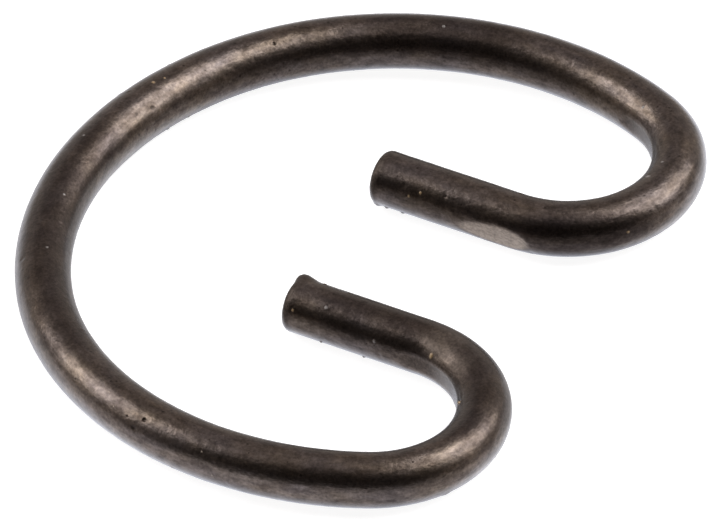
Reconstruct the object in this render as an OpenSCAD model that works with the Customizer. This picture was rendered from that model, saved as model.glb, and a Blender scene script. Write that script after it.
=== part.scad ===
// Gudgeon pin circlip with two hooked ends: one length of round spring wire,
// bent flat into an open ring whose ends turn back inwards as straight tangs.
//
// The origin is the middle of the ring, on the wire's centre line.
// +Z is the ring's axis, +X points out through the gap and Y runs across the ring.
// Every bend radius is measured to the wire's centre line, in its free state.

/* [Wire] */
// Diameter of the spring wire
wire_d = 1.0; // [0.8:0.05:1.2]
// Rounding round the edge of each cropped end
end_round = 0.08; // [0.04:0.01:0.16]

/* [Ring] */
// Bend radius of the back of the ring
back_r = 6.6; // [6.2:0.05:7.2]
// Angle that the back of the ring covers
back_span = 60; // [40:1:80]
// Bend radius of each flank of the ring
flank_r = 5.8; // [5.4:0.05:6.1]
// Angle from the middle of the gap to the end of each flank
flank_end = 65; // [58:1:75]

/* [Hooks and tangs] */
// Bend radius of each hook
hook_r = 1.95; // [1.6:0.05:2.1]
// Straight length of each tang, from its hook to the cropped end
tang_len = 2.6; // [1.6:0.1:3]
// Lean of both tangs, to the same side
tang_lean = 2; // [-4:0.5:4]

/* [Tool marks] */
// Depth of the land that the bending pin presses along the inside of each hook
pin_land_depth = 0.04; // [0.02:0.01:0.08]
// Depth of the hollow that the bending finger presses in each tang, by its hook
finger_mark_depth = 0.05; // [0.02:0.01:0.08]
// Distance from the deepest point of that hollow to where the hook begins
finger_mark_back = 0.3; // [0:0.05:0.6]
// Radius of the bending finger's nose
finger_nose_r = 9; // [6:0.5:14]

/* [Hidden] */
$fn = 64;

wire_r = wire_d / 2;
steel_colour = [0.29, 0.26, 0.24];

// The bending tools stand past both sides of the wire, so that each mark runs right across it.
tool_h = 2 * wire_d;
finger_facets = 360;

// The back and the flanks share a tangent, so each flank's centre lies on the line
// from the back's centre to their joint. The origin is midway between the flanks' centres.
back_half = back_span / 2;
bend_change = back_r - flank_r;
back_centre = bend_change * [cos(back_half), 0, 0];
flank_centre = bend_change * [0, sin(back_half), 0];

// Each hook shares a tangent with its flank, on the flank's inner side.
hook_centre = flank_centre + (flank_r - hook_r) * [cos(flank_end), sin(flank_end), 0];

// Moves its children by an offset in two steps: first a whole number of pitches, then the
// small rest. The rest keeps more decimals, so bends about different centres meet exactly.
place_pitch = 0.02;
module place(offset) {
  round_part = place_pitch * [for (c = offset) round(c / place_pitch)];
  translate(round_part) translate(offset - round_part) children();
}

// A length of wire bent about the origin, from one angle round to another.
module bend(radius, from, to)
  rotate_extrude(start = from, angle = to - from)
    translate([radius, 0])
      circle(d = wire_d);

// Half of the section along a tang, with the edge of the cropped end rounded.
module tang_profile() {
  square([wire_r - end_round, tang_len]);
  square([wire_r, tang_len - end_round]);
  translate([wire_r - end_round, tang_len - end_round])
    circle(r = end_round);
}

// The straight tang, running along -X from the end of its hook.
module tang()
  rotate([0, -90, 0])
    rotate_extrude()
      tang_profile();

// The hook and its tang about the hook's centre, before they lean.
module hook_and_tang(turn) {
  bend(hook_r, -90, turn);
  translate([0, -hook_r, 0]) tang();
}

// The pin that the hook is wound on, pressed into the inside of the bend.
module bending_pin()
  cylinder(r = hook_r - wire_r + pin_land_depth, h = tool_h, center = true);

// The nose of the finger that winds it, pressed into the side of the tang outside the bend.
module bending_finger()
  translate([-finger_mark_back, finger_mark_depth - wire_r - hook_r - finger_nose_r, 0])
    cylinder(r = finger_nose_r, h = tool_h, center = true, $fn = finger_facets);

// The side of the ring where Y is positive: its flank, hook and tang.
// The hook is turned about its own centre until the tang leans from -X by an angle.
module side(lean)
  difference() {
    union() {
      place(flank_centre) bend(flank_r, flank_end, 180 - back_half);
      place(hook_centre) rotate(-lean) hook_and_tang(flank_end + lean);
    }
    place(hook_centre) bending_pin();
    place(hook_centre) rotate(-lean) bending_finger();
  }

module circlip()
  color(steel_colour) {
    place(back_centre) bend(back_r, 180 - back_half, 180 + back_half);
    side(tang_lean);
    mirror([0, 1, 0]) side(-tang_lean);
  }

circlip();
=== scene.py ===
import math

import bmesh
import bpy
from mathutils import Matrix, Vector, noise


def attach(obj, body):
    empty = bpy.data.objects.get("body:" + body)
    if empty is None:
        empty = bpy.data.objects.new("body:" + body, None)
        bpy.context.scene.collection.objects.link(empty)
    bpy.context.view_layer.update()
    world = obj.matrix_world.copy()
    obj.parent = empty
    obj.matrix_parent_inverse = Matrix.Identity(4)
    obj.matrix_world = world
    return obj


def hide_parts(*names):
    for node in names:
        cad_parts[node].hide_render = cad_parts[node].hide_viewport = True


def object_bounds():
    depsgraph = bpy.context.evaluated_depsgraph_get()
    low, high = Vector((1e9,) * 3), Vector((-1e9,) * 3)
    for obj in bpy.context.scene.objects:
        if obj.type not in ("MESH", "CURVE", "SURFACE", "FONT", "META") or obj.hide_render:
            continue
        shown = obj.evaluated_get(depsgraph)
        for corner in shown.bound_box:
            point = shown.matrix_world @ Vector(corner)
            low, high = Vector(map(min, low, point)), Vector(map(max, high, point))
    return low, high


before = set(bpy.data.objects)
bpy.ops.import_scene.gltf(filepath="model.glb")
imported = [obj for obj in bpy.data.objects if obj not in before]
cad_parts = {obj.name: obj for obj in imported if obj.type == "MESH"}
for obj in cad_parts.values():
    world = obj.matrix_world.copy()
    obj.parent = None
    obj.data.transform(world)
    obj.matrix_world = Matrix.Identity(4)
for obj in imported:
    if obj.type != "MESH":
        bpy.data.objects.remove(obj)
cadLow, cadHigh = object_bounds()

mm = 0.001
zAxis = Vector((0, 0, 1))
scene = bpy.context.scene


def polar(angle, length=1.0):
    # a flat vector at an angle in degrees from +X
    return Vector((math.cos(math.radians(angle)), math.sin(math.radians(angle)), 0)) * length


def directionTo(azimuth, elevation):
    # from the object towards a camera or a lamp; azimuth 0 looks along +Y
    a, e = math.radians(azimuth), math.radians(elevation)
    return Vector((math.sin(a) * math.cos(e), -math.cos(a) * math.cos(e), math.sin(e)))


shot = {
    "azimuth": 26.3,
    "elevation": 38.46,
    "distance": 400.0,  # mm from the aim
    "aim": (0.693, 0.0, 0.0),  # the centre that the back is bent about, in mm
    "pixelsPerMm": 57.38,  # at the aim
    "slideRight": -1.075,  # mm that the camera then slides, without turning
    "slideUp": 0.145,
    "pixelsWide": 720,
    "sensor": 36.0,
    "clip": (0.01, 10),  # metres
}


def makeCamera():
    back = directionTo(shot["azimuth"], shot["elevation"])
    right = zAxis.cross(back).normalized()
    up = back.cross(right)
    camera = bpy.data.objects.new("camera", bpy.data.cameras.new("camera"))
    scene.collection.objects.link(camera)
    camera.data.sensor_width = shot["sensor"]
    camera.data.lens = shot["sensor"] * shot["pixelsPerMm"] * shot["distance"] / shot["pixelsWide"]
    camera.data.clip_start, camera.data.clip_end = shot["clip"]
    slide = right * shot["slideRight"] + up * shot["slideUp"]
    camera.location = (Vector(shot["aim"]) + back * shot["distance"] + slide) * mm
    camera.rotation_mode = "QUATERNION"
    camera.rotation_quaternion = back.to_track_quat("Z", "Y")
    scene.camera = camera


makeCamera()
print("camera set")


wire = {
    "thickness": 1.0,  # mm, as are all lengths here; angles are in degrees
    "backRadius": 6.6,
    "backSpan": 60,
    "flankRadius": 5.8,
    "flankEnd": 65,
    "hookRadius": 1.95,
    "tangLength": 2.6,
    "tangLean": 2,
    "cropOver": 0.08,  # how much longer the first tang was left
    "endRound": 0.13,
    "pinLandDepth": 0.04,
    "fingerDepth": 0.07,
    "fingerPast": 0.07,  # from the start of the hook to the middle of the mark
    "fingerNose": 8.0,
    "fingerTilt": 10,  # its face leans under the wire
    "pressEdge": 0.018,  # how deep a tool goes in before the metal is fully burnished
    "skin": 0.008,  # how far the surface lies inside the nominal one, as room for grains
    "sides": 68,
    "endRings": 4,  # on the flat of a cropped end, and as many on its rounding
    "spinStep": 0.128,  # about how far it is from ring to ring
    "cuts": 3,  # further rings between two of those
    "smallMark": 0.07,  # marks of up to this radius get finer faces
    "markCuts": 2,  # how many times those are cut, both ways
    "markMargin": 0.045,  # and how far beyond the mark
}
wireRadius = wire["thickness"] / 2 - wire["skin"]
backHalf = wire["backSpan"] / 2
flankTurn = 180 - backHalf - wire["flankEnd"]
flankShift = (wire["backRadius"] - wire["flankRadius"]) * math.sin(math.radians(backHalf))
flankCentre = Vector((0, flankShift, 0))
hookCentre = flankCentre + polar(wire["flankEnd"], wire["flankRadius"] - wire["hookRadius"])
otherHookCentre = Vector((hookCentre.x, -hookCentre.y, 0))


def walkWire():
    # the stretches of the wire, from the tip of the +Y tang round to the other tip
    lean, hookTurn = wire["tangLean"], 90 + wire["flankEnd"]
    moves = [(wire["tangLength"] + wire["cropOver"], 0),
             (wire["hookRadius"], hookTurn + lean),
             (wire["flankRadius"], flankTurn),
             (wire["backRadius"], wire["backSpan"]),
             (wire["flankRadius"], flankTurn),
             (wire["hookRadius"], hookTurn - lean),
             (wire["tangLength"], 0)]
    heading = polar(-lean)
    here = hookCentre + polar(-90 - lean, wire["hookRadius"]) - heading * moves[0][0]
    along, stretches = -wire["cropOver"], []
    for size, turn in moves:
        left = zAxis.cross(heading)
        length = size * math.radians(turn) if turn else size
        stretches.append({"start": here, "heading": heading, "along": along, "length": length,
                          "turn": turn, "radius": size, "centre": here + left * size})
        if turn:
            spun = Matrix.Rotation(math.radians(turn), 3, "Z")
            here = here + left * size - spun @ (left * size)
            heading = spun @ heading
        else:
            here = here + heading * size
        along += length
    return stretches, here, heading


def wirePoint(stretch, place):
    # how far a point lies outwards of the centre line, above it and along it
    if stretch["turn"]:
        arm = place - stretch["centre"]
        flat = Vector((arm.x, arm.y, 0))
        first = stretch["start"] - stretch["centre"]
        turned = (math.atan2(arm.y, arm.x) - math.atan2(first.y, first.x)) % (2 * math.pi)
        if turned > math.pi:
            turned -= 2 * math.pi  # it lies a hair before the start
        outward = flat.length - stretch["radius"]
        return Vector((outward, place.z, stretch["along"] + turned * stretch["radius"]))
    arm = place - stretch["start"]
    side = stretch["heading"].cross(zAxis)
    return Vector((arm.dot(side), place.z, stretch["along"] + arm.dot(stretch["heading"])))


def endProfile():
    # radius and depth of each ring from the middle of a cropped end to its full wire
    flat, rounding = wireRadius - wire["endRound"], wire["endRound"]
    shares = [(number + 1) / wire["endRings"] for number in range(wire["endRings"])]
    rings = [(flat * share, 0.0) for share in shares]
    for share in shares:
        a = math.radians(90 * share)
        rings.append((flat + rounding * math.sin(a), rounding * (1 - math.cos(a))))
    return rings


def edgesOf(geometry):
    return [part for part in geometry if isinstance(part, bmesh.types.BMEdge)]


def vertsOf(geometry):
    return [part for part in geometry if isinstance(part, bmesh.types.BMVert)]


def growRing(bm, ring, centre, scale, shift):
    grown = bmesh.ops.extrude_edge_only(bm, edges=edgesOf(ring))["geom"]
    verts = vertsOf(grown)
    bmesh.ops.scale(bm, vec=(scale, scale, scale), space=Matrix.Translation(-centre), verts=verts)
    bmesh.ops.translate(bm, vec=shift, verts=verts)
    return verts + edgesOf(grown)


def sweepWire(bm):
    # the whole wire, ring by ring, with its distances kept on every vertex
    stretches, tip, tipHeading = walkWire()
    layer = bm.verts.layers.float_vector.new("wirePlace")
    first = stretches[0]
    heading, here = first["heading"], first["start"]
    turn = Matrix((heading.cross(zAxis), zAxis, -heading)).transposed().to_4x4()
    rings = endProfile()
    made = bmesh.ops.create_circle(bm, cap_ends=True, segments=wire["sides"], radius=rings[0][0] * mm,
                                   matrix=Matrix.Translation(here * mm) @ turn)
    ring = made["verts"] + bm.edges[:]
    for (r0, d0), (r1, d1) in zip(rings, rings[1:]):
        ring = growRing(bm, ring, (here + heading * d0) * mm, r1 / r0, heading * (d1 - d0) * mm)

    counted, owners = 0, []
    for number, stretch in enumerate(stretches):
        length = stretch["length"] - (0 if stretch["turn"] else wire["endRound"])
        steps = round(length / wire["spinStep"])
        if stretch["turn"]:
            path = {"cent": stretch["centre"] * mm, "angle": math.radians(stretch["turn"])}
        else:
            path = {"cent": stretch["start"] * mm, "angle": 0,
                    "dvec": stretch["heading"] * length / steps * mm}
        swept = bmesh.ops.spin(bm, geom=ring, axis=zAxis, steps=steps, **path)
        ring = vertsOf(swept["geom_last"]) + edgesOf(swept["geom_last"])
        owners += [number] * (len(bm.verts) - counted)
        counted = len(bm.verts)

    for (r1, d1), (r0, d0) in zip(rings[::-1], rings[-2::-1]):
        ring = growRing(bm, ring, (tip - tipHeading * d1) * mm, r0 / r1, tipHeading * (d1 - d0) * mm)
    bmesh.ops.contextual_create(bm, geom=edgesOf(ring))
    owners += [len(stretches) - 1] * (len(bm.verts) - counted)

    # the cropped ends count as such over their rounding, and fade out over as much again
    cropped = bm.verts.layers.float.new("cropped")
    wireLength = stretches[-1]["along"] + stretches[-1]["length"]
    for vert, owner in zip(bm.verts, owners):
        vert[layer] = wirePoint(stretches[owner], vert.co / mm)
        fromTip = min(vert[layer].z - first["along"], wireLength - vert[layer].z)
        vert[cropped] = min(max(2 - fromTip / wire["endRound"], 0), 1)
    bmesh.ops.recalc_face_normals(bm, faces=bm.faces)
    return layer, stretches


def stretchAt(stretches, along):
    return [stretch for stretch in stretches if stretch["along"] <= max(along, 0)][-1]


def cutFiner(bm, layer, stretches):
    # more rings along the wire; the new ones lie on chords, so they are set back on the round
    longest = wire["spinStep"] / 2  # longer edges than that run from ring to ring
    lengthwise = [edge for edge in bm.edges
                  if abs(edge.verts[0][layer].z - edge.verts[1][layer].z) > longest]
    bmesh.ops.subdivide_edges(bm, edges=lengthwise, cuts=wire["cuts"], use_grid_fill=True)
    for vert in bm.verts:
        stretch = stretchAt(stretches, vert[layer].z)
        if stretch["turn"]:
            arm = vert.co / mm - stretch["centre"]
            flat = Vector((arm.x, arm.y, 0)).normalized() * (stretch["radius"] + vert[layer].x)
            vert.co = (stretch["centre"] + flat + zAxis * arm.z) * mm


def clearOf(vert, centre, axis, radius):
    # moves a vertex out of a round tool, and says how far it was in
    arm = vert.co / mm - centre
    flat = arm - axis * arm.dot(axis)
    depth = max(radius - flat.length, 0)
    vert.co += flat.normalized() * depth * mm
    return depth


def pressTools(bm, layer, stretches):
    # the winding pin inside each hook, and the bending finger on each tang
    pinRadius = wire["hookRadius"] - wire["thickness"] / 2 + wire["pinLandDepth"]
    reach = wire["thickness"] / 2 - wire["fingerDepth"] + wire["fingerNose"]
    land = bm.verts.layers.float.new("land")
    pressed = bm.verts.layers.float.new("pressed")
    first, back, otherFlank, last = stretches[0], stretches[3], stretches[4], stretches[-1]
    # each end of the wire, from one distance along it to another, has its own tools
    ends = [(hookCentre, -math.inf, back["along"], first, stretches[1]["start"], 1),
            (otherHookCentre, otherFlank["along"], math.inf, last, last["start"], -1)]
    for centre, low, high, tang, hookEnd, onward in ends:
        tilt = Matrix.Rotation(math.radians(wire["fingerTilt"]), 3, tang["heading"])
        outward = tilt @ tang["heading"].cross(zAxis)
        nose = hookEnd + outward * reach + tang["heading"] * onward * wire["fingerPast"]
        for vert in bm.verts:
            if low < vert[layer].z < high:
                vert[land] = min(clearOf(vert, centre, zAxis, pinRadius) / wire["pressEdge"], 1)
                depth = clearOf(vert, nose, tilt @ zAxis, wire["fingerNose"])
                vert[pressed] = min(depth / wire["pressEdge"], 1)


relief = {
    "wave": (0.55, 0.003),  # size and height of each kind of unevenness, in mm
    "rough": (0.12, 0.0017),
    "grit": (0.06, 0.0015),
    "drawn": (0.07, 0.001),  # lines left along the wire by drawing
    "drawnLength": 22.0,  # how many times longer than wide they are
    "grains": (0.42, 0.012, 3.7),  # spacing, height, and a seed that shifts the pattern
    "pits": (0.36, -0.014, 11.2),
    "spotShare": 0.4,  # how many of the places hold a grain or a pit
    "spotRadius": (0.018, 0.055),
    "spotSeed": 7.3,  # picks which of the places those are
    "pressedFlat": 0.7,  # how much of all this a tool presses away
}


def spots(place, spacing, seed):
    # height from 0 to 1 of scattered round spots, of mixed radius
    gaps, centres = noise.voronoi(place / spacing + Vector((seed, seed, seed)))
    chance = abs(noise.cell(centres[0] * relief["spotSeed"]))
    if chance > relief["spotShare"]:
        return 0.0
    smallest, largest = relief["spotRadius"]
    gap = gaps[0] * spacing / (smallest + (largest - smallest) * chance / relief["spotShare"])
    return max(0.0, 1 - gap * gap)


def unevenness(place, straight):
    height = 0.0
    for name in ("wave", "rough", "grit"):
        size, depth = relief[name]
        height += depth * noise.noise(place / size)
    size, depth = relief["drawn"]
    streak = Vector((straight.x, straight.y, straight.z / relief["drawnLength"]))
    height += depth * noise.noise(streak / size)
    for name in ("grains", "pits"):
        spacing, rise, seed = relief[name]
        height += rise * spots(place, spacing, seed)
    return height


marks = {
    # mm along the wire, degrees round it from outward by way of up, radius and height in mm
    "pit": [(28.06, 51, 0.05, -0.02), (15.43, 116, 0.045, -0.015), (18.69, 126, 0.04, -0.006),
            (18.31, 134, 0.06, -0.008), (27.94, 26, 0.07, -0.01), (4.08, 3, 0.09, -0.008)],
    "tanGrain": [(17.89, 88, 0.04, 0.007), (17.66, 94, 0.025, 0.007), (0.94, 34, 0.03, 0.012),
                 (0.74, 20, 0.03, 0.012), (4.43, 14, 0.03, 0.012), (39.63, 152, 0.03, 0.012),
                 (36.78, 147, 0.06, 0.02), (34.98, 148, 0.055, 0.03)],
    "paleFlake": [(5.90, 111, 0.035, 0.008), (5.38, 115, 0.06, 0.012), (12.27, 105, 0.035, 0.008),
                  (7.87, 126, 0.035, 0.008), (38.01, 159, 0.035, 0.012), (39.05, 125, 0.04, 0.006),
                  (23.04, 99, 0.03, 0.006), (19.80, 78, 0.03, 0.006), (21.46, 111, 0.03, 0.006)],
    "dull": [(36.7, 105, 0.75, 0.0), (36.0, 120, 0.5, 0.0)],
    # places where the colour is made darker, mostly along the top of the wire
    "tarnish": [(along, turn, 0.75, 0.0) for along, turn in (
        (19.9, 110), (20.9, 100), (21.9, 105), (22.8, 95), (23.7, 100), (24.6, 110), (25.4, 115),
        (34.2, 105), (35.0, 100), (35.8, 115), (38.6, 100), (37.6, 90), (4.2, 20), (3.5, 0),
        (13.1, 85), (12.2, 80), (11.4, 90))],
    # a burr has the metal's own colour
    "burr": [(0.04, 312, 0.12, 0.03), (0.24, 316, 0.06, 0.025), (0.56, 316, 0.06, 0.02),
             (2.58, 118, 0.07, 0.012), (39.80, 48, 0.34, 0.055), (39.87, 56, 0.22, 0.02),
             (39.37, 57, 0.06, 0.015), (38.87, 62, 0.05, 0.012), (39.09, 216, 0.035, 0.022),
             (38.27, 224, 0.04, 0.022), (33.26, 320, 0.12, 0.016), (17.95, 215, 0.05, 0.014),
             (17.42, 215, 0.05, 0.014), (18.31, 66, 0.05, 0.008)],
}


def markCentre(along, turn):
    around = math.radians(turn)
    return Vector((math.cos(around) * wireRadius, math.sin(around) * wireRadius, along))


def cutAtMarks(bm, layer):
    # smaller faces where a small mark comes
    small = [(markCentre(along, turn), radius) for places in marks.values()
             for along, turn, radius, height in places if radius <= wire["smallMark"]]
    near = set()
    for vert in bm.verts:
        for centre, radius in small:
            reach = radius + wire["markMargin"]
            if abs(vert[layer].z - centre.z) < reach and (vert[layer] - centre).length < reach:
                near.add(vert)
    edges = [edge for edge in bm.edges if edge.verts[0] in near and edge.verts[1] in near]
    bmesh.ops.subdivide_edges(bm, edges=edges, cuts=wire["markCuts"], use_grid_fill=True)


def roughen(bm, layer):
    # the surface's relief and its marks, each mark kept as a mask as well
    bm.normal_update()
    land, pressed = bm.verts.layers.float["land"], bm.verts.layers.float["pressed"]
    placed = []
    for kind, places in marks.items():
        mask = bm.verts.layers.float.new(kind)
        for along, turn, radius, rise in places:
            placed.append((markCentre(along, turn), radius, rise, mask))
    shifts = []
    for vert in bm.verts:
        straight = vert[layer]
        flattened = relief["pressedFlat"] * max(vert[land], vert[pressed])
        height = min(unevenness(vert.co / mm, straight), wire["skin"]) * (1 - flattened)
        for centre, radius, rise, mask in placed:
            if abs(straight.z - centre.z) < radius:
                gap = (straight - centre).length / radius
                if gap < 1:
                    height += rise * (1 - gap * gap) ** 2
                    vert[mask] = max(vert[mask], 1 - gap * gap)
        shifts.append(vert.normal * height * mm)
    for vert, shift in zip(bm.verts, shifts):
        vert.co += shift


def makeWire():
    bm = bmesh.new()
    layer, stretches = sweepWire(bm)
    cutFiner(bm, layer, stretches)
    cutAtMarks(bm, layer)
    pressTools(bm, layer, stretches)
    roughen(bm, layer)
    for face in bm.faces:
        face.smooth = True
    mesh = bpy.data.meshes.new("springWire")
    bm.to_mesh(mesh)
    bm.free()
    piece = bpy.data.objects.new("springWire", mesh)
    scene.collection.objects.link(piece)
    return piece


springWire = makeWire()
print("wire swept:", len(springWire.data.polygons), "faces")


steel = {
    "dark": ((0.074, 0.056, 0.044), (0.065, 0.053, 0.05)),  # from golden to grey
    "light": ((0.158, 0.125, 0.099), (0.142, 0.119, 0.112)),
    "noise": {  # size across in mm, times longer along the wire, change of brightness
        "stains": (0.42, 2.5, 0.0),
        "patches": (0.16, 1.8, 0.0),
        "flecks": (0.1, 1.3, 0.14),
        "streaks": (0.06, 12.0, 0.06),
        "grain": (0.05, 1.0, 0.28),
    },
    "noiseDetail": 4.0,
    "noiseRoughness": 0.6,
    "noiseRange": (0.32, 0.68),  # stretched to go from 0 to 1
    "roughness": (0.36, 0.295),  # of dark patches and of light ones
    "dullRoughness": 0.55,
    "bump": {"patches": 0.0025, "flecks": 0.001, "grain": 0.0012, "pits": -0.0025, "dust": 0.004},  # mm
    "spots": {  # spacing in mm, radius, share of the places that hold one, colour
        "pits": (0.17, 0.036, 0.5, (0.045, 0.035, 0.03)),
        "dust": (0.36, 0.022, 0.4, (0.32, 0.26, 0.2)),
    },
    "spotFade": (0.3, 1.1),  # a spot fades from the first to the second, where 1 is its radius
    "marks": {  # colour and strength of each kind of mark
        # darker colour at those places, mostly along the top of the wire
        "tarnish": ((0.035, 0.026, 0.024), 0.6),
        "land": ((0.1, 0.078, 0.064), 0.7),
        "pressed": ((0.31, 0.255, 0.205), 0.9),
        "dull": ((0.09, 0.072, 0.06), 0.6),
        "cropped": ((0.07, 0.056, 0.048), 0.8),
        "pit": ((0.035, 0.028, 0.024), 0.7),
        "tanGrain": ((0.42, 0.29, 0.15), 0.85),
        "paleFlake": ((0.27, 0.25, 0.24), 0.85),
    },
    "notMetal": ("tanGrain", "paleFlake"),
    "rougher": ("dull", "cropped", "land"),
    "oilEdge": (0.4, 0.8),  # the oil film shows from the first to the second, 0 facing and 1 edge on
    "oilRoughness": 0.25,
    "oilIndex": 2.0,
}


def addNode(tree, kind, place, settings=None, **values):
    node = tree.nodes.new(kind)
    node.location = place
    for name, value in (settings or {}).items():
        setattr(node, name, value)
    for name, value in values.items():
        node.inputs[name.replace("_", " ")].default_value = value
    return node


def addMath(tree, place, operation, first, second):
    # each of the two is a socket to link or a plain number
    node = addNode(tree, "ShaderNodeMath", place, {"operation": operation})
    for socket, value in zip(node.inputs, (first, second)):
        if isinstance(value, bpy.types.NodeSocket):
            tree.links.new(value, socket)
        else:
            socket.default_value = value
    return node.outputs["Value"]


def addMix(tree, place, factor, first, second):
    # a colour from the first to the second
    node = addNode(tree, "ShaderNodeMix", place, {"data_type": "RGBA"})
    sockets = (node.inputs["Factor"], node.inputs["A"], node.inputs["B"])
    for socket, value in zip(sockets, (factor, first, second)):
        if isinstance(value, bpy.types.NodeSocket):
            tree.links.new(value, socket)
        else:
            socket.default_value = (*value, 1)
    return node.outputs["Result"]


def addRange(tree, place, value, reach, levels=(0.0, 1.0)):
    # goes from the first level to the second as the value goes over its reach
    node = addNode(tree, "ShaderNodeMapRange", place, From_Min=reach[0], From_Max=reach[1],
                   To_Min=levels[0], To_Max=levels[1])
    tree.links.new(value, node.inputs["Value"])
    return node.outputs["Result"]


def makeGroup(name, inputs, outputs):
    group = bpy.data.node_groups.new(name, "ShaderNodeTree")
    for label, kind, value in inputs:
        socket = group.interface.new_socket(label, in_out="INPUT", socket_type=kind)
        if value is not None:
            socket.default_value = value
    for label, kind in outputs:
        group.interface.new_socket(label, in_out="OUTPUT", socket_type=kind)
    start = addNode(group, "NodeGroupInput", (-800, 0))
    end = addNode(group, "NodeGroupOutput", (600, 0))
    return group, start.outputs, end.inputs


def makeDrawnNoise():
    # noise from 0 to 1, drawn out along the wire
    group, given, result = makeGroup(
        "drawnNoise",
        [("Wire Place", "NodeSocketVector", None), ("Size", "NodeSocketFloat", 0.1),
         ("Stretch", "NodeSocketFloat", 1.0)],
        [("Value", "NodeSocketFloat")])
    link = group.links.new
    split = addNode(group, "ShaderNodeSeparateXYZ", (-600, 100))
    join = addNode(group, "ShaderNodeCombineXYZ", (-200, 100))
    shortened = addMath(group, (-400, 0), "DIVIDE", split.outputs["Z"], given["Stretch"])
    scale = addMath(group, (-400, -200), "DIVIDE", 1.0, given["Size"])
    texture = addNode(group, "ShaderNodeTexNoise", (0, 100), Detail=steel["noiseDetail"],
                      Roughness=steel["noiseRoughness"])
    link(given["Wire Place"], split.inputs["Vector"])
    link(split.outputs["X"], join.inputs["X"])
    link(split.outputs["Y"], join.inputs["Y"])
    link(shortened, join.inputs["Z"])
    link(join.outputs["Vector"], texture.inputs["Vector"])
    link(scale, texture.inputs["Scale"])
    link(addRange(group, (250, 100), texture.outputs["Fac"], steel["noiseRange"]), result["Value"])
    return group


def makeScatteredSpots():
    # a mask of small spots, 1 in the middle of each
    group, given, result = makeGroup(
        "scatteredSpots",
        [("Wire Place", "NodeSocketVector", None), ("Spacing", "NodeSocketFloat", 0.3),
         ("Radius", "NodeSocketFloat", 0.03), ("Share", "NodeSocketFloat", 0.3)],
        [("Mask", "NodeSocketFloat")])
    link = group.links.new
    scale = addMath(group, (-600, -200), "DIVIDE", 1.0, given["Spacing"])
    cells = addNode(group, "ShaderNodeTexVoronoi", (-400, 0))
    split = addNode(group, "ShaderNodeSeparateXYZ", (-200, -200))
    link(given["Wire Place"], cells.inputs["Vector"])
    link(scale, cells.inputs["Scale"])
    link(cells.outputs["Color"], split.inputs["Vector"])
    gap = addMath(group, (-200, 0), "MULTIPLY", cells.outputs["Distance"], given["Spacing"])
    radius = addMath(group, (-200, 200), "MULTIPLY", given["Radius"], split.outputs["Y"])
    chosen = addMath(group, (0, -200), "LESS_THAN", split.outputs["X"], given["Share"])
    inside = addMath(group, (0, 0), "DIVIDE", gap, radius)
    fade = addRange(group, (200, 0), inside, steel["spotFade"], (1.0, 0.0))
    link(addMath(group, (400, 0), "MULTIPLY", fade, chosen), result["Mask"])
    return group


def makeMasks(tree):
    # every noise, spot and mark of the steel as a value from 0 to 1
    place = addNode(tree, "ShaderNodeAttribute", (-1800, 0), {"attribute_name": "wirePlace"})
    masks, drawnNoise, scatteredSpots = {}, makeDrawnNoise(), makeScatteredSpots()
    for row, (name, (size, stretch, shade)) in enumerate(steel["noise"].items()):
        node = addNode(tree, "ShaderNodeGroup", (-1500, 400 - row * 200), {"node_tree": drawnNoise},
                       Size=size, Stretch=stretch)
        tree.links.new(place.outputs["Vector"], node.inputs["Wire Place"])
        masks[name] = node.outputs["Value"]
    for row, (name, (spacing, radius, share, tint)) in enumerate(steel["spots"].items()):
        node = addNode(tree, "ShaderNodeGroup", (-1500, -600 - row * 200), {"node_tree": scatteredSpots},
                       Spacing=spacing, Radius=radius, Share=share)
        tree.links.new(place.outputs["Vector"], node.inputs["Wire Place"])
        masks[name] = node.outputs["Mask"]
    for row, name in enumerate(steel["marks"]):
        node = addNode(tree, "ShaderNodeAttribute", (-1500, 1800 - row * 170), {"attribute_name": name})
        masks[name] = node.outputs["Fac"]
    return masks


def mixColour(tree, masks):
    shades = [addMix(tree, (-1200, 500 - row * 250), masks["stains"], *steel[name])
              for row, name in enumerate(("dark", "light"))]
    colour = addMix(tree, (-1000, 400), masks["patches"], *shades)
    for column, (name, (tint, strength)) in enumerate(steel["marks"].items()):
        left = -800 + column * 200
        share = addMath(tree, (left, 700), "MULTIPLY", masks[name], strength)
        colour = addMix(tree, (left, 400), share, colour, tint)
    for column, (name, (size, stretch, shade)) in enumerate(steel["noise"].items()):
        if shade:
            left = 600 + column * 200
            level = addRange(tree, (left, 700), masks[name], (0.0, 1.0), (1 - shade, 1 + shade))
            shaded = addNode(tree, "ShaderNodeVectorMath", (left, 400), {"operation": "SCALE"})
            tree.links.new(colour, shaded.inputs[0])
            tree.links.new(level, shaded.inputs["Scale"])
            colour = shaded.outputs["Vector"]
    for column, (name, (spacing, radius, share, tint)) in enumerate(steel["spots"].items()):
        colour = addMix(tree, (1700 + column * 200, 400), masks[name], colour, tint)
    return colour


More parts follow.
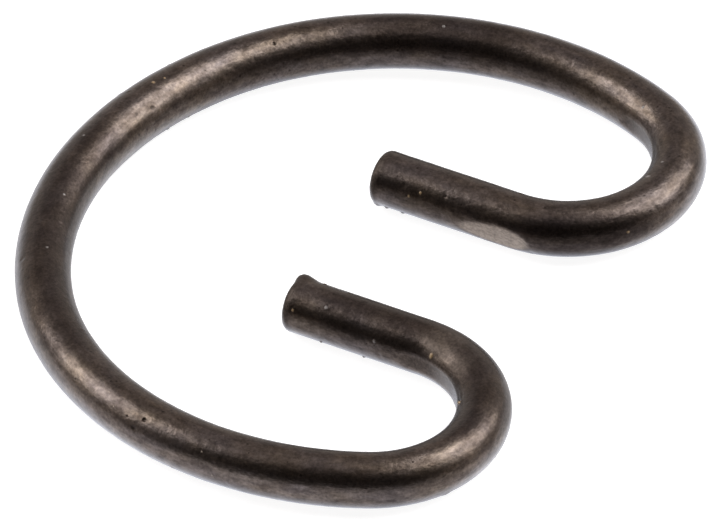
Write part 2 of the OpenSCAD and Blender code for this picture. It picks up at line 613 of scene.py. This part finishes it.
def makeSteel():
    material = bpy.data.materials.new("blackenedSteel")
    material.use_nodes = True
    tree = material.node_tree
    tree.nodes.clear()
    link = tree.links.new
    out = addNode(tree, "ShaderNodeOutputMaterial", (2700, 0))
    bsdf = addNode(tree, "ShaderNodeBsdfPrincipled", (2300, 0), Coat_Roughness=steel["oilRoughness"],
                   Coat_IOR=steel["oilIndex"])
    masks = makeMasks(tree)
    link(mixColour(tree, masks), bsdf.inputs["Base Color"])

    loose = masks["dust"]
    for column, name in enumerate(steel["notMetal"]):
        loose = addMath(tree, (1200 + column * 200, 100), "MAXIMUM", loose, masks[name])
    link(addMath(tree, (1700, 100), "SUBTRACT", 1.0, loose), bsdf.inputs["Metallic"])

    gloss = addRange(tree, (1400, -100), masks["patches"], (0.0, 1.0), steel["roughness"])
    dulled = 0.0
    for column, name in enumerate(steel["rougher"]):
        dulled = addMath(tree, (800 + column * 200, -300), "MAXIMUM", dulled, masks[name])
    dulled = addMath(tree, (1400, -400), "MULTIPLY", dulled, steel["dullRoughness"])
    link(addMath(tree, (1700, -100), "MAXIMUM", gloss, dulled), bsdf.inputs["Roughness"])

    height = 0.0
    for column, (name, rise) in enumerate(steel["bump"].items()):
        left = 400 + column * 200
        part = addMath(tree, (left, -900), "MULTIPLY", masks[name], rise * mm)
        height = addMath(tree, (left, -700), "ADD", height, part)
    bump = addNode(tree, "ShaderNodeBump", (1700, -700), Strength=1.0, Distance=1.0)
    link(height, bump.inputs["Height"])
    link(bump.outputs["Normal"], bsdf.inputs["Normal"])

    edge = addNode(tree, "ShaderNodeLayerWeight", (1400, -1000), Blend=0.5)
    film = addRange(tree, (1700, -1000), edge.outputs["Facing"], steel["oilEdge"])
    link(film, bsdf.inputs["Coat Weight"])
    link(bsdf.outputs["BSDF"], out.inputs["Surface"])
    return material


springWire.data.materials.append(makeSteel())
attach(springWire, "root")
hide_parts("circlip")
print("steel finished")


studio = {
    "floorSize": 700.0,  # mm
    "floorColour": (0.42, 0.42, 0.43),
    "floorRoughness": 0.4,  # a satin sheet
    "floorIndex": 2.6,
    "floorGlow": 0.9,  # added where the floor is seen, where 1 is white
    "glowInMetal": 1.0,  # and where it is seen in the metal, close by
    "glowColour": (0.84, 0.88, 1.0),
    "glowReach": (0.1, 1.35),  # mm from the metal over which that fades
    "glowOutside": (5.9, 6.7, 0.2),  # outside the ring the distance counts as this share of itself
    "glowFront": (-1.5, -4.0, 0.5),  # and so it does in front, from the first Y to the second
    "glowSides": ((-6.0, -2.0, 0.4, 1.1), (1.5, 5.0, 1.0, 0.6)),  # two X, and the glow's share at each
    "horizon": (0.38, 0.33, 0.29),
    "zenith": (0.46, 0.42, 0.425),
    "lamps": {
        # azimuth, elevation, distance in mm, width, height, brightness
        "softboxRight": (131.0, 48.0, 500.0, 370.0, 500.0, 4.3),
        "softboxLeft": (283.0, 37.0, 500.0, 270.0, 330.0, 4.55),
    },
    "darkCard": (22.0, 27.0, 300.0, 1100.0, 560.0),  # the same, without the brightness
    "cardColour": (0.012, 0.005, 0.001),
    "cardRoughness": 1.0,
}


def placeTowards(azimuth, elevation, distance):
    towards = directionTo(azimuth, elevation)
    facing = towards.to_track_quat("Z", "Y").to_matrix().to_4x4()
    return Matrix.Translation(towards * distance * mm) @ facing


def makeStage(name, width, height, colour, roughness, turn):
    # a flat sheet that the object isn't part of
    bm = bmesh.new()
    bmesh.ops.create_grid(bm, x_segments=1, y_segments=1, size=mm / 2)  # 1 mm square
    bmesh.ops.scale(bm, vec=(width, height, 1), verts=bm.verts)
    bmesh.ops.transform(bm, matrix=turn, verts=bm.verts)
    mesh = bpy.data.meshes.new(name)
    bm.to_mesh(mesh)
    bm.free()
    sheet = bpy.data.objects.new(name, mesh)
    scene.collection.objects.link(sheet)
    material = bpy.data.materials.new(name)
    material.use_nodes = True
    tree = material.node_tree
    tree.nodes.clear()
    out = addNode(tree, "ShaderNodeOutputMaterial", (600, 0))
    paint = addNode(tree, "ShaderNodeBsdfPrincipled", (0, 0), Base_Color=(*colour, 1),
                    Roughness=roughness)
    tree.links.new(paint.outputs["BSDF"], out.inputs["Surface"])
    mesh.materials.append(material)
    return sheet, tree, paint, out


def addGlowInMetal(tree, path):
    # how bright the floor is where the metal mirrors it, which fades with the distance
    link = tree.links.new
    place = addNode(tree, "ShaderNodeTexCoord", (-1700, -500))
    split = addNode(tree, "ShaderNodeSeparateXYZ", (-1450, -600))
    fromMiddle = addNode(tree, "ShaderNodeVectorMath", (-1450, -350), {"operation": "LENGTH"})
    link(place.outputs["Object"], split.inputs["Vector"])
    link(place.outputs["Object"], fromMiddle.inputs[0])

    inner, outer, nearer = studio["glowOutside"]
    outside = addRange(tree, (-1200, -350), fromMiddle.outputs["Value"], (inner * mm, outer * mm),
                       (1.0, nearer))
    behind, front, share = studio["glowFront"]
    inFront = addRange(tree, (-1200, -650), split.outputs["Y"], (behind * mm, front * mm), (1.0, share))
    shortened = addMath(tree, (-950, -500), "MULTIPLY", outside, inFront)
    length = addMath(tree, (-750, -400), "MULTIPLY", path["Ray Length"], shortened)

    near, far = studio["glowReach"]
    nearby = addRange(tree, (-550, -400), length, (near * mm, far * mm), (studio["glowInMetal"], 0.0))
    mirrored = addMath(tree, (-550, -200), "MAXIMUM", path["Is Glossy Ray"], path["Is Transmission Ray"])
    glow = addMath(tree, (-350, -200), "MULTIPLY", mirrored, nearby)
    for column, (left, right, before, after) in enumerate(studio["glowSides"]):
        side = addRange(tree, (-350 + column * 200, -700), split.outputs["X"], (left * mm, right * mm),
                        (before, after))
        glow = addMath(tree, (-150 + column * 200, -450), "MULTIPLY", glow, side)
    return glow


def makeFloor():
    size, colour, roughness = studio["floorSize"], studio["floorColour"], studio["floorRoughness"]
    ground = Matrix.Translation((0, 0, cadLow.z))
    tree, paint, out = makeStage("floor", size, size, colour, roughness, ground)[1:]
    paint.inputs["IOR"].default_value = studio["floorIndex"]
    link = tree.links.new
    path = addNode(tree, "ShaderNodeLightPath", (-1200, 0)).outputs
    seen = addMath(tree, (-350, 0), "MULTIPLY", path["Is Camera Ray"], studio["floorGlow"])
    strength = addMath(tree, (-150, -100), "ADD", seen, addGlowInMetal(tree, path))
    tint = addMix(tree, (-150, 100), path["Is Camera Ray"], studio["glowColour"], (1, 1, 1))
    glow = addNode(tree, "ShaderNodeEmission", (50, -150))
    both = addNode(tree, "ShaderNodeAddShader", (350, 0))
    link(strength, glow.inputs["Strength"])
    link(tint, glow.inputs["Color"])
    link(paint.outputs["BSDF"], both.inputs[0])
    link(glow.outputs["Emission"], both.inputs[1])
    link(both.outputs["Shader"], out.inputs["Surface"])


def makeDarkCard():
    # the metal mirrors it, and the camera doesn't see it
    azimuth, elevation, distance, width, height = studio["darkCard"]
    card = makeStage("darkCard", width, height, studio["cardColour"], studio["cardRoughness"],
                     placeTowards(azimuth, elevation, distance))[0]
    card.visible_camera = False


def makeLamp(name, azimuth, elevation, distance, width, height, brightness):
    lamp = bpy.data.lights.new(name, "AREA")
    lamp.shape = "RECTANGLE"
    lamp.size, lamp.size_y = width * mm, height * mm
    lamp.energy = brightness * math.pi * lamp.size * lamp.size_y
    holder = bpy.data.objects.new(name, lamp)
    holder.matrix_world = placeTowards(azimuth, elevation, distance)
    scene.collection.objects.link(holder)


def makeWorld():
    # darker towards the horizon
    world = bpy.data.worlds.new("studio")
    world.use_nodes = True
    tree = world.node_tree
    background = tree.nodes["Background"]
    place = addNode(tree, "ShaderNodeTexCoord", (-800, 300))
    split = addNode(tree, "ShaderNodeSeparateXYZ", (-600, 300))
    rise = addMix(tree, (-300, 300), split.outputs["Z"], studio["horizon"], studio["zenith"])
    tree.links.new(place.outputs["Generated"], split.inputs["Vector"])
    tree.links.new(rise, background.inputs["Color"])
    scene.world = world


makeFloor()
makeDarkCard()
makeWorld()
for name, values in studio["lamps"].items():
    makeLamp(name, *values)
scene.view_settings.view_transform = "Standard"
print("studio lit")
